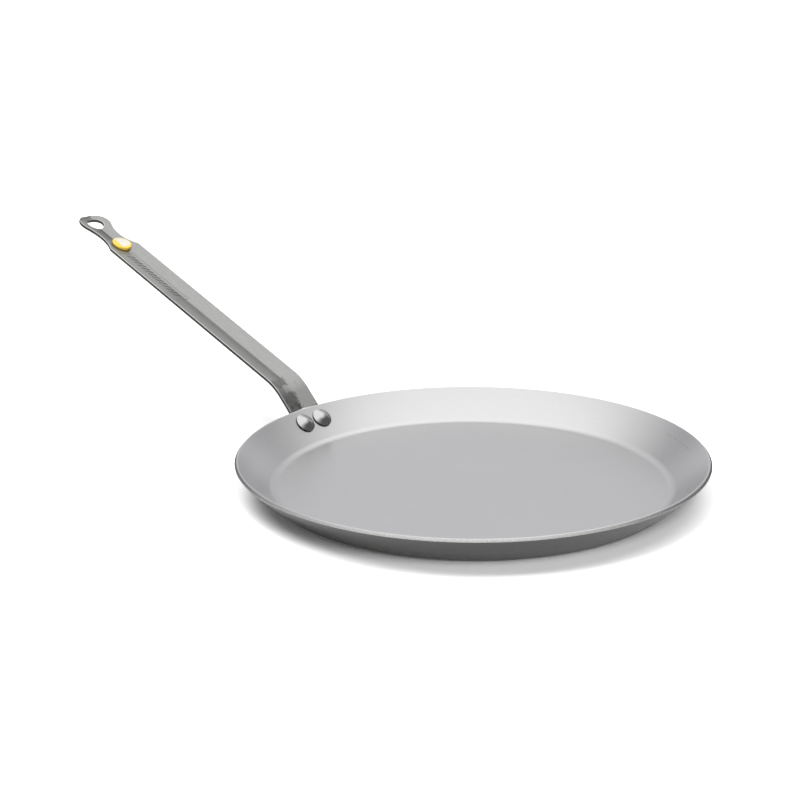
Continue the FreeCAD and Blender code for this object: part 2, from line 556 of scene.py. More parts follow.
def solid_piece(
    name: str,
    points: Sequence[Vector],
    faces: Sequence[Sequence[int]],
    material: bpy.types.Material,
    marks: dict[str, Sequence[Any]] | None = None,
) -> bpy.types.Object:
    """Makes a closed, smooth-shaded piece whose faces point outwards.

    Args:
        name: The piece's name.
        points: Places of its corners.
        faces: Corner numbers of its faces.
        material: Its finish.
        marks: Values or vectors of each point by name, kept as attributes for the finish.

    Returns:
        The finished object.
    """
    mesh = bpy.data.meshes.new(name)
    mesh.from_pydata([tuple(point) for point in points], [], [list(face) for face in faces])
    for label, values in (marks or {}).items():
        if isinstance(values[0], Vector):
            flat = [part for value in values for part in value]
            mesh.attributes.new(label, "FLOAT_VECTOR", "POINT").data.foreach_set("vector", flat)
        else:
            mesh.attributes.new(label, "FLOAT", "POINT").data.foreach_set("value", values)
    work = bmesh.new()
    work.from_mesh(mesh)
    bmesh.ops.remove_doubles(work, verts=work.verts, dist=WELD_DISTANCE)
    bmesh.ops.recalc_face_normals(work, faces=work.faces)
    for face in work.faces:
        face.smooth = True
    work.to_mesh(mesh)
    work.free()
    mesh.materials.append(material)
    return add_object(name, mesh)


def bands(rows: Sequence[Sequence[int]]) -> list[tuple[int, ...]]:
    """Four-cornered faces between closed rows of points.

    Args:
        rows: Point numbers of each row, all rows of one length.

    Returns:
        The faces, row by row.
    """
    faces: list[tuple[int, ...]] = []
    for upper, lower in zip(rows, rows[1:]):
        for i in range(len(upper)):
            j = (i + 1) % len(upper)
            faces.append((upper[i], upper[j], lower[j], lower[i]))
    return faces


def along(angle: float) -> Vector:
    """Unit vector in the handle's plane that climbs outwards at an angle in radians."""
    return Vector((math.cos(angle), 0.0, math.sin(angle)))


def upward(angle: float) -> Vector:
    """Unit vector square to along(angle), on its upper side."""
    return Vector((-math.sin(angle), 0.0, math.cos(angle)))


def section(point: Vector) -> Flat:
    """Radius and height of a point in the handle's plane."""
    return point.x, point.z


@dataclass(frozen=True)
class DishSteel:
    """Satin rolled steel with a bare sheared edge at the rim that is dull when seen at a flat angle, and
    an outside painted darker than the inside as shade.

    A Step is a smooth rise from 0 at its first value to 1 at its second. A mix holds the shares of the
    noises that are added up.
    """

    inside: Colour = (0.52, 0.52, 0.528)
    # Outside colour: the same steel painted darker as shade, for the outer wall that faces down onto the
    # floor's shadow.
    outside: Colour = (0.140, 0.136, 0.136)
    cut: Colour = (0.48, 0.48, 0.477)
    cut_tint: Colour = (0.04, 0.04, 0.04)
    inside_start: Step = (1.4, 1.6)
    cut_start: Step = (0.35, 0.6)
    cut_ragged: float = 0.5
    cut_grit: float = 1.1
    roughness: float = 0.34
    cut_roughness: float = 0.06
    relief: float = 0.012 * MM
    cloud_scale: float = 11.0
    mottle_scale: float = 520.0
    ragged_scale: float = 900.0
    grit_scale: float = 1300.0
    rolled_scale: Triple = (60.0, 900.0, 900.0)
    tone_mix: Triple = (0.05, 0.10, 0.06)
    rough_mix: Triple = (0.08, 0.10, 0.08)
    relief_mix: Flat = (0.6, 0.4)
    scuff_radius: float = 142.1 * MM
    scuff_heading: float = math.radians(-124.7)
    scuff_half: float = math.radians(7.2)
    scuff_width: Step = (0.15 * MM, 0.45 * MM)
    scuff_waver: float = 1.5 * MM
    scuff_end: float = 0.3 * MM
    scuff_breaks: Step = (-0.12, 0.10)
    scuff_tone: float = 0.22

    def _scuff(self, s: Surface, cloud: Wire, mottle: Wire) -> Wire:
        """Thin broken scratch along a short stretch of the wall.

        Args:
            s: The material's graph.
            cloud: Broad noise, which bends the line.
            mottle: Fine noise, which breaks it.

        Returns:
            The scratch's strength, from 0 to 1.
        """
        x, y, _ = s.split(s.place)
        radius = s.vector("LENGTH", s.join(x, y, 0.0)).of("Value")
        reach = x * math.cos(self.scuff_heading) + y * math.sin(self.scuff_heading)
        limit = self.scuff_radius * math.cos(self.scuff_half)
        stretch = reach.between(limit - self.scuff_end, limit + self.scuff_end)
        offset = abs(radius - self.scuff_radius + cloud * self.scuff_waver)
        return (1 - offset.between(*self.scuff_width)) * stretch * mottle.between(*self.scuff_breaks)

    def material(self) -> bpy.types.Material:
        """Builds the finish.

        Returns:
            The dish's material.
        """
        s = Surface("dish_steel")
        zone = s.number("zone")
        inside = zone.between(*self.inside_start)
        ragged = s.noise(s.place, self.ragged_scale, detail=3.0) * self.cut_ragged
        cut = (zone + ragged).between(*self.cut_start) * (1 - inside)
        cloud = s.noise(s.place, self.cloud_scale, detail=3.0, roughness=0.6)
        rolled = s.noise(s.stretch(s.place, self.rolled_scale), 1.0, detail=4.0, roughness=0.6)
        mottle = s.noise(s.place, self.mottle_scale, detail=2.0, roughness=0.6)
        grit = s.noise(s.place, self.grit_scale, detail=3.0, roughness=0.7)
        scuff = self._scuff(s, cloud, mottle) * inside
        tone = 1 + mixed(self.tone_mix, cloud, rolled, mottle) - scuff * self.scuff_tone
        rough = self.roughness + mixed(self.rough_mix, cloud, rolled, mottle)
        sheet = s.shader({
            # The outside takes its darker colour, painted as shade.
            "Base Color": s.scale(s.mix(inside, self.outside, self.inside), tone),
            "Metallic": 1.0,
            "Roughness": rough,
            "Normal": s.bump(mixed(self.relief_mix, rolled, mottle), self.relief),
        })
        edge = s.shader({
            "Base Color": s.scale(self.cut, tone + grit * self.cut_grit),
            "Specular Tint": (*self.cut_tint, 1.0),
            "Metallic": 1.0,
            "Roughness": rough + self.cut_roughness,
            "Normal": s.bump(mottle + ragged, self.relief),
        })
        return s.close(s.blend(cut, sheet, edge))


@dataclass(frozen=True)
class Stretch:
    """Ragged stretch of the strip: full within the inner half length, gone at the outer one."""

    middle: float
    inner: float
    outer: float
    raggedness: float

    def share(self, run: Wire, ragged: Wire) -> Wire:
        """1 on the stretch and 0 beyond it."""
        place = run + ragged * self.raggedness
        return 1 - abs(place - self.middle).between(self.inner, self.outer)


@dataclass(frozen=True)
class Dose:
    """Uneven strength of a mark: its level, and how much each of two noises adds."""

    level: float
    blotch: float
    speck: float

    def share(self, blotch: Wire, speck: Wire) -> Wire:
        """The strength at each place."""
        return self.level + blotch * self.blotch + speck * self.speck


@dataclass(frozen=True)
class HandleSteel:
    """Satin strip steel. Oxide and painted shade darken the gutter's near flank and the leg; the upper
    edges and the foot are painted bright as highlights, and the sides are painted dark as shade.

    Lengths run along the strip from the foot's lower end, or across it from the gutter's middle. A Step
    is a smooth rise, a mix holds the shares of the noises, and a wipe is the share of the darkening taken
    away.
    """

    bare: Colour = (0.296, 0.296, 0.293)
    # Oxide colour, also painted as shade on the gutter's near flank and the leg's near half.
    oxide_and_shade: Colour = (0.085, 0.083, 0.078)
    # Bright colour painted on the upper rounded edges as a highlight.
    edge: Colour = (0.56, 0.56, 0.55)
    # Near-white colour painted on the foot's upper face as a highlight along the rim.
    foot_highlight: Colour = (0.95, 0.95, 0.94)
    # Near-black colour painted on the side faces and lower rounded edges as shade.
    side: Colour = (0.060, 0.059, 0.057)
    roughness: float = 0.40
    relief: float = 0.02 * MM
    streak_scale: Triple = (55.0, 700.0, 0.3)
    blotch_scale: float = 230.0
    speck_scale: float = 1100.0
    ragged_mix: Flat = (50.0 * MM, 20.0 * MM)
    upper_end: Step = (0.02, 0.1)
    edge_highlight_start: Step = (0.01, 0.06)
    side_start: Step = (0.2, 0.3)
    side_end: Step = (0.93, 0.99)
    crease: Step = (-0.9 * MM, 0.9 * MM)
    crease_waver: float = 1.2 * MM
    valley_fade: Step = (-2.0 * MM, 12.5 * MM)
    valley_dose: Dose = Dose(0.49, 0.9, 0.0)
    neck_start: Step = (239.1 * MM, 244.1 * MM)
    neck_end: Step = (256.3 * MM, 261.3 * MM)
    neck_fade: float = 0.6
    neck_dose: float = 0.42
    flank_lift_start: Step = (162.0 * MM, 178.0 * MM)
    flank_lift_end: Step = (233.1 * MM, 239.1 * MM)
    flank_lift_wipe: float = 0.5
    leg_end: Step = (39.0 * MM, 48.0 * MM)
    leg_slant: float = 0.4
    leg_dose: Dose = Dose(0.40, 2.0, 1.6)
    low_end: Step = (32.3 * MM, 35.3 * MM)
    low_raggedness: float = 0.4
    low_dose: float = 0.24
    near_half_edge: Step = (-2.4 * MM, -0.4 * MM)
    near_half_mix: Flat = (14.0 * MM, 9.0 * MM)
    knee: Stretch = Stretch(47.0 * MM, 4.0 * MM, 8.0 * MM, 0.3)
    knee_edge: Step = (4.0 * MM, 8.0 * MM)
    knee_dose: Dose = Dose(0.50, 2.0, 1.6)
    bend_dark: Stretch = Stretch(45.4 * MM, 2.6 * MM, 5.0 * MM, 0.12)
    bend_dark_edge: Step = (2.0 * MM, 5.0 * MM)
    bend_dark_dose: Dose = Dose(0.46, 1.2, 1.2)
    light_patch: Stretch = Stretch(40.5 * MM, 2.6 * MM, 3.4 * MM, 0.12)
    light_patch_edge: Step = (5.6 * MM, 7.4 * MM)
    light_patch_wipe: float = 0.95
    tip_start: Step = (268.3 * MM, 271.3 * MM)
    tip_waver: float = 8.0 * MM
    tip_highlight_fade: float = 0.85
    cap_edge: Step = (-3.0 * MM, -2.2 * MM)
    cap_waver: float = 5.0 * MM
    cap_dose: Dose = Dose(0.56, 2.0, 1.0)
    pit_size: Step = (0.11, 0.24)
    pit_blotch: float = 0.6
    pit_end: Step = (45.0 * MM, 62.0 * MM)
    pit_dose: float = 0.55
    stamp_edge: Step = (0.12, 0.55)
    foot_highlight_end: Step = (23.1 * MM, 23.5 * MM)
    foot_highlight_bow: float = 0.126
    tone_mix: tuple[float, ...] = (0.34, 0.24, 0.36, 0.16, 0.38)
    rough_mix: tuple[float, ...] = (0.10, 0.08, 0.10, 0.15)
    relief_mix: Triple = (0.6, 0.5, 0.4)

    def _valley(self, strip: StripMap, near: Wire) -> Wire:
        """Oxide and painted shade on the near flank beside the crease, stronger at the neck.

        Args:
            strip: The surface's coordinates and noises.
            near: 1 on the near side of the crease.

        Returns:
            The oxide's strength.
        """
        neck = strip.run.between(*self.neck_start)
        neck = neck * (1 - strip.run.between(*self.neck_end) * self.neck_fade)
        dose = self.valley_dose.share(strip.blotch, strip.speck) + neck * self.neck_dose
        return near * (1 - strip.across.between(*self.valley_fade)) * dose

    def _leg(self, strip: StripMap) -> Wire:
        """Oxide and painted shade, ragged, on the leg's near half and round the bend.

        Args:
            strip: The surface's coordinates and noises.

        Returns:
            The oxide's strength.
        """
        noises = (strip.blotch, strip.speck)
        place = strip.run + strip.ragged + strip.across * self.leg_slant
        low = 1 - (strip.run + strip.ragged * self.low_raggedness).between(*self.low_end)
        leg = self.leg_dose.share(*noises) + low * self.low_dose
        leg = leg * (1 - place.between(*self.leg_end))
        knee = self.knee.share(strip.run, strip.ragged) * self.knee_dose.share(*noises)
        knee = knee * (1 - strip.across.between(*self.knee_edge))
        # Only the leg's near half is darkened: oxide with painted shade where the flank faces away from
        # the light.
        near_half = (strip.across + mixed(self.near_half_mix, *noises)).between(*self.near_half_edge)
        # A darker stretch on the near flank within the bend, oxide with painted shade.
        bend_dark = self.bend_dark.share(strip.run, strip.ragged) * self.bend_dark_dose.share(*noises)
        bend_dark = bend_dark * strip.across.between(*self.bend_dark_edge)
        return (near_half * leg.largest(knee)).largest(bend_dark)

    def material(self) -> bpy.types.Material:
        """Builds the finish.

        Returns:
            The handle's material.
        """
        s = Surface("handle_steel")
        strip = StripMap(s, self)
        run, across, depth = strip.run, strip.across, strip.depth
        blotch, speck = strip.blotch, strip.speck
        upper = 1 - depth.between(*self.upper_end)
        # Painted shade: the side faces and the lower rounded edges take the near-black side colour.
        side = depth.between(*self.side_start) * (1 - depth.between(*self.side_end))
        # Painted highlight: the upper rounded edges take the bright edge colour.
        edge_highlight = depth.between(*self.edge_highlight_start) * (1 - depth.between(*self.side_start))
        near = (across + blotch * self.crease_waver).between(*self.crease)
        # Between the stamp and the button the near flank's darkening is halved and its tone raised.
        flank_lift = run.between(*self.flank_lift_start) * (1 - run.between(*self.flank_lift_end)) * near
        # A lighter patch before the bend: the darkening is taken away and the near flank made brighter.
        light_patch = 1 - (across + strip.ragged * self.light_patch.raggedness).between(*self.light_patch_edge)
        light_patch = light_patch * self.light_patch.share(run, strip.ragged)
        tip = (run + blotch * self.tip_waver).between(*self.tip_start)
        # Oxide and painted shade on the near flank at the eyelet's tip.
        cap = tip * (across + blotch * self.cap_waver).between(*self.cap_edge)
        cap = cap * self.cap_dose.share(blotch, speck)
        pits = (speck + blotch * self.pit_blotch).between(*self.pit_size)
        pits = pits * (1 - run.between(*self.pit_end)) * self.pit_dose
        # Oxide and painted shade on the near flank, which faces away from the light.
        valley = self._valley(strip, near) * (1 - flank_lift * self.flank_lift_wipe)
        dark = valley.largest(self._leg(strip)) * (1 - light_patch * self.light_patch_wipe)
        dark = dark.largest(cap).largest(pits)
        dark = dark.largest(s.number("stamp").between(*self.stamp_edge)) * upper
        # Painted highlight: the foot's upper face, up to a band just above the rim, takes the near-white
        # colour.
        foot_highlight = upper * (1 - (run + abs(across) * self.foot_highlight_bow).between(*self.foot_highlight_end))
        face = s.mix(foot_highlight, s.mix(dark, self.bare, self.oxide_and_shade), self.foot_highlight)
        # The painted edge highlight is mostly taken away at the eyelet's tip.
        face = s.mix(edge_highlight * (1 - tip * self.tip_highlight_fade), face, self.edge)
        tone = 1 + mixed(self.tone_mix, strip.streak, blotch, speck, flank_lift, light_patch * near)
        return s.finish({
            "Base Color": s.scale(s.mix(side, face, self.side), tone),
            "Metallic": 1.0,
            "Roughness": self.roughness + mixed(self.rough_mix, strip.streak, blotch, dark, side),
            "Normal": s.bump(mixed(self.relief_mix, strip.streak, speck, blotch), self.relief),
        })


class StripMap:
    """Strip coordinates and noises that the handle's marks are made of.

    The depth is 0 on the upper face, 1 on the lower one and between them on edges and sides.
    """

    def __init__(self, s: Surface, steel: HandleSteel) -> None:
        """Reads the coordinates and makes the noises.

        Args:
            s: The material's graph.
            steel: The finish, which gives the noises' scales.
        """
        strip = s.attribute("strip")
        self.run, self.across, self.depth = s.split(strip)
        self.streak = s.noise(s.stretch(strip, steel.streak_scale), 1.0, detail=4.0, roughness=0.6)
        self.blotch = s.noise(s.place, steel.blotch_scale, detail=5.0, roughness=0.7)
        self.speck = s.noise(s.place, steel.speck_scale, detail=3.0, roughness=0.7)
        self.ragged = mixed(steel.ragged_mix, self.blotch, self.speck)


@dataclass(frozen=True)
class RivetSteel:
    """Polished steel with fine drawn lines, and the head's edge painted dark as shade."""

    tone: Colour = (0.44, 0.44, 0.44)
    # Near-black colour painted on the head's edge as shade.
    edge: Colour = (0.05, 0.05, 0.05)
    edge_fade: Step = (0.4, 0.8)
    roughness: float = 0.20
    relief: float = 0.01 * MM
    line_scale: float = 2600.0
    line_stretch: Triple = (1.0, 1.0, 0.12)
    line_tone: float = 0.10
    spot_scale: float = 700.0
    rough_mix: Flat = (0.08, 0.08)
    relief_mix: Flat = (1.0, 0.5)

    def material(self) -> bpy.types.Material:
        """Builds the finish.

        Returns:
            The rivets' material.
        """
        s = Surface("rivet_steel")
        lines = s.noise(s.stretch(s.place, self.line_stretch), self.line_scale, detail=3.0, roughness=0.6)
        spots = s.noise(s.place, self.spot_scale, detail=3.0, roughness=0.6)
        # Painted shade: the band of the head's edge takes the near-black colour.
        rim = 1 - abs(s.number("zone") - Zone.CUT.value).between(*self.edge_fade)
        return s.finish({
            "Base Color": s.scale(s.mix(rim, self.tone, self.edge), 1 + lines * self.line_tone),
            "Metallic": 1.0,
            "Roughness": self.roughness + mixed(self.rough_mix, lines, spots),
            "Normal": s.bump(mixed(self.relief_mix, lines, spots), self.relief),
        })


@dataclass(frozen=True)
class Moulding:
    """Smooth moulded plastic with a faint flow pattern."""

    name: str
    colour: Colour
    deep: Colour
    roughness: float
    relief: float = 0.02 * MM
    flow_scale: float = 240.0
    flow_level: float = 0.5
    flow_gain: float = 1.2
    flow_step: Step = (0.1, 0.9)
    pit_scale: float = 2400.0
    rough_mix: Flat = (0.12, 0.10)
    relief_mix: Flat = (0.5, 1.0)

    def material(self) -> bpy.types.Material:
        """Builds the finish.

        Returns:
            The moulding's material.
        """
        s = Surface(self.name)
        flow = s.noise(s.place, self.flow_scale, detail=3.0, roughness=0.6)
        pits = s.noise(s.place, self.pit_scale, detail=2.0, roughness=0.5)
        share = (self.flow_level + flow * self.flow_gain).between(*self.flow_step)
        return s.finish({
            "Base Color": s.mix(share, self.deep, self.colour),
            "Metallic": 0.0,
            "Roughness": self.roughness + mixed(self.rough_mix, flow, pits),
            "Normal": s.bump(mixed(self.relief_mix, flow, pits), self.relief),
        })


@dataclass
class Dish:
    """The pressed dish: flat base, round corner, sloping wall and a bare cut rim.

    A pair of steps is the longest distance between the profile's points and the lead at its ends.
    """

    rim_radius: float = 150.0 * MM
    height: float = 22.4 * MM
    sheet: float = 2.5 * MM
    slope: float = math.radians(42.5)
    corner_radius: float = 12.0 * MM
    rim_round: float = 0.8 * MM
    rim_break: float = 0.3 * MM
    wall_bow: float = 0.3 * MM
    segments: int = 288
    base_steps: Flat = (16.0 * MM, 1.0 * MM)
    wall_steps: Flat = (2.0 * MM, 0.4 * MM)
    cut_steps: Flat = (0.6 * MM, 0.2 * MM)
    corner_rows: int = 14
    break_rows: int = 4
    round_rows: int = 5

    @property
    def rim_height(self) -> float:
        """Height of the rim's outer corner."""
        return self.height - self.sheet * math.cos(self.slope)

    @property
    def base_radius(self) -> float:
        """Radius at which the flat base ends."""
        foot = self.rim_radius - self.rim_height / math.tan(self.slope)
        return foot - self.corner_radius * math.tan(self.slope / 2)

    def wall_point(self, drop: float) -> Vector:
        """Point of the outer wall on the handle's line, at a distance down from the rim."""
        return Vector((self.rim_radius, 0.0, self.rim_height)) - along(self.slope) * drop

    def profile(self) -> Profile:
        """Half section of the sheet, from the underside's centre round the rim to the inside's centre.

        Returns:
            The line for the lathe.
        """
        line = Profile()
        centre = (self.base_radius, self.corner_radius)
        inner = self.corner_radius - self.sheet
        up = upward(self.slope)
        out = along(self.slope)
        low = self.wall_point(0.0)
        high = low + up * self.sheet
        bow = (-self.wall_bow * up.x, -self.wall_bow * up.z)
        down = -math.pi / 2
        wall = down + self.slope
        line.add((0.0, 0.0), Zone.OUTSIDE)
        line.run((self.base_radius, 0.0), Zone.OUTSIDE, *self.base_steps)
        line.arc(centre, self.corner_radius, down, wall, self.corner_rows, Zone.OUTSIDE)
        end = low - out * self.rim_break
        line.run(section(end), Zone.OUTSIDE, *self.wall_steps, bow)
        middle = section(end + up * self.rim_break)
        line.arc(middle, self.rim_break, wall, self.slope, self.break_rows, Zone.CUT)
        line.run(section(high - up * self.rim_round), Zone.CUT, *self.cut_steps)
        middle = section(high - out * self.rim_round - up * self.rim_round)
        line.arc(middle, self.rim_round, self.slope, self.slope - down, self.round_rows, Zone.INSIDE)
        line.run(on_circle(centre, inner, wall), Zone.INSIDE, *self.wall_steps, bow)
        line.arc(centre, inner, wall, down, self.corner_rows, Zone.INSIDE)
        line.run((0.0, self.sheet), Zone.INSIDE, *self.base_steps)
        return line

    def build(self) -> bpy.types.Object:
        """Turns the dish with Geometry Nodes.

        Returns:
            The dish, riding on the pan.
        """
        line = self.profile()
        sizes = {
            "Segments": self.segments,
            "Profile Points": len(line.points),
            "Finish": DishSteel().material(),
        }
        tree = GeometryTree("dish_lathe", sizes)
        tree.close(tree.lathe(tree.given("Segments"), tree.given("Profile Points")))
        dish = tree.piece("dish", line)
        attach(dish, Body.PAN.value)
        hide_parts("pan_body")
        return dish


@dataclass
class StampedPanel:
    """Shallow bordered panel with a row of plain slanted notches, pressed into the near flank."""

    start: float = 112.0 * MM
    end: float = 178.0 * MM
    low: float = -2.2 * MM
    high: float = 11.4 * MM
    border: float = 0.7 * MM
    border_depth: float = 0.18 * MM
    notch_low: float = 0.5 * MM
    notch_high: float = 5.4 * MM
    notch_width: float = 1.5 * MM
    notch_pitch: float = 4.2 * MM
    notch_slant: float = 0.45
    notch_depth: float = 0.34 * MM
    notch_edge: float = 0.25 * MM
    notch_margin: float = 5.0 * MM

    @staticmethod
    def _dip(distance: float, half: float) -> float:
        """Rounded groove section: 1 in the middle, 0 at a half width and beyond."""
        share = min(1.0, abs(distance) / half)
        return (1 - share * share) ** 2

    def depth(self, reach: float, across: float) -> float:
        """Depth of the stamp below the flank.

        Args:
            reach: Distance along the bar from the bend's corner.
            across: Distance from the gutter's middle, positive on the near flank.

        Returns:
            The depth in metres.
        """
        half = self.border / 2
        lines = 0.0
        if self.start - half < reach < self.end + half:
            lines = max(self._dip(across - self.low, half), self._dip(across - self.high, half))
        if self.low - half < across < self.high + half:
            lines = max(lines, self._dip(reach - self.start, half), self._dip(reach - self.end, half))
        return max(lines * self.border_depth, self._notch(reach, across) * self.notch_depth)

    def _notch(self, reach: float, across: float) -> float:
        """Share of the full depth of the nearest notch.

        Args:
            reach: Distance along the bar from the bend's corner.
            across: Distance from the gutter's middle, positive on the near flank.

        Returns:
            The share, from 0 to 1.
        """
        first = self.start + self.notch_margin
        count = int((self.end - self.start - 2 * self.notch_margin) / self.notch_pitch)
        place = (reach - first - (across - self.notch_low) * self.notch_slant) / self.notch_pitch
        nearest = min(max(round(place), 0), count)
        over = max(self.notch_low - across, across - self.notch_high, 0.0)
        distance = math.hypot((place - nearest) * self.notch_pitch, over)
        return self._dip(distance, self.notch_width / 2 + self.notch_edge)


@dataclass
class Loop:
    """Closed line in the strip's own plane, with the direction into the steel at each point."""

    points: list[Flat] = field(default_factory=list)
    inward: list[Flat] = field(default_factory=list)

    def arc(
        self, centre: Flat, radius: float, start: float, end: float, steps: int, sense: float
    ) -> None:
        """Adds a round stretch.

        Args:
            centre: Centre of the arc.
            radius: Its radius.
            start: First angle in radians.
            end: Last angle in radians.
            steps: Number of steps.
            sense: 1 where the steel is outside the circle, -1 where it is inside.
        """
        for i in range(steps + 1):
            angle = start + (end - start) * i / steps
            self.points.append(on_circle(centre, radius, angle))
            self.inward.append((sense * math.cos(angle), sense * math.sin(angle)))

    def line(self, start: Flat, end: Flat, step: float, inward: Flat) -> None:
        """Adds the inner points of a straight stretch.

        Args:
            start: The stretch's start, which isn't added.
            end: Its end, which isn't added.
            step: Longest distance between points.
            inward: Direction into the steel.
        """
        count = max(2, math.ceil(math.dist(start, end) / step))
        for i in range(1, count):
            share = i / count
            self.points.append(tuple(a + (b - a) * share for a, b in zip(start, end)))
            self.inward.append(inward)

    def inset(self, depth: float) -> list[Flat]:
        """The loop moved into the steel by a depth."""
        return [(p[0] + n[0] * depth, p[1] + n[1] * depth) for p, n in zip(self.points, self.inward)]


@dataclass(frozen=True)
class StripGrid:
    """Spacing of the points inside the strip, close together at the crease and the stamp."""

    start: float = 0.9 * MM
    coarse_step: float = 1.4 * MM
    fine_step: float = 0.4 * MM
    stamp_margin: float = 1.5 * MM
    edge_gap: float = 0.35 * MM
    crease_rows: tuple[float, ...] = (0.0, 0.35 * MM, 0.7 * MM, 1.05 * MM, 1.5 * MM)
    flank_start: float = 2.2 * MM
    flank_pitch: float = 1.4 * MM
    flank_rows: int = 9
    fine_pitch: float = 0.36 * MM
    fine_rows: int = 37

    def rows(self, stamped: bool) -> list[float]:
        """Distances of the points from the strip's middle.

        Args:
            stamped: Whether they are on the stamped stretch.

        Returns:
            The distances on both sides, in rising order.
        """
        if stamped:
            near = [self.fine_pitch * i for i in range(self.fine_rows)]
        else:
            flank = [self.flank_start + self.flank_pitch * i for i in range(self.flank_rows)]
            near = [*self.crease_rows, *flank]
        return sorted({sign * value for value in near for sign in (1, -1)})


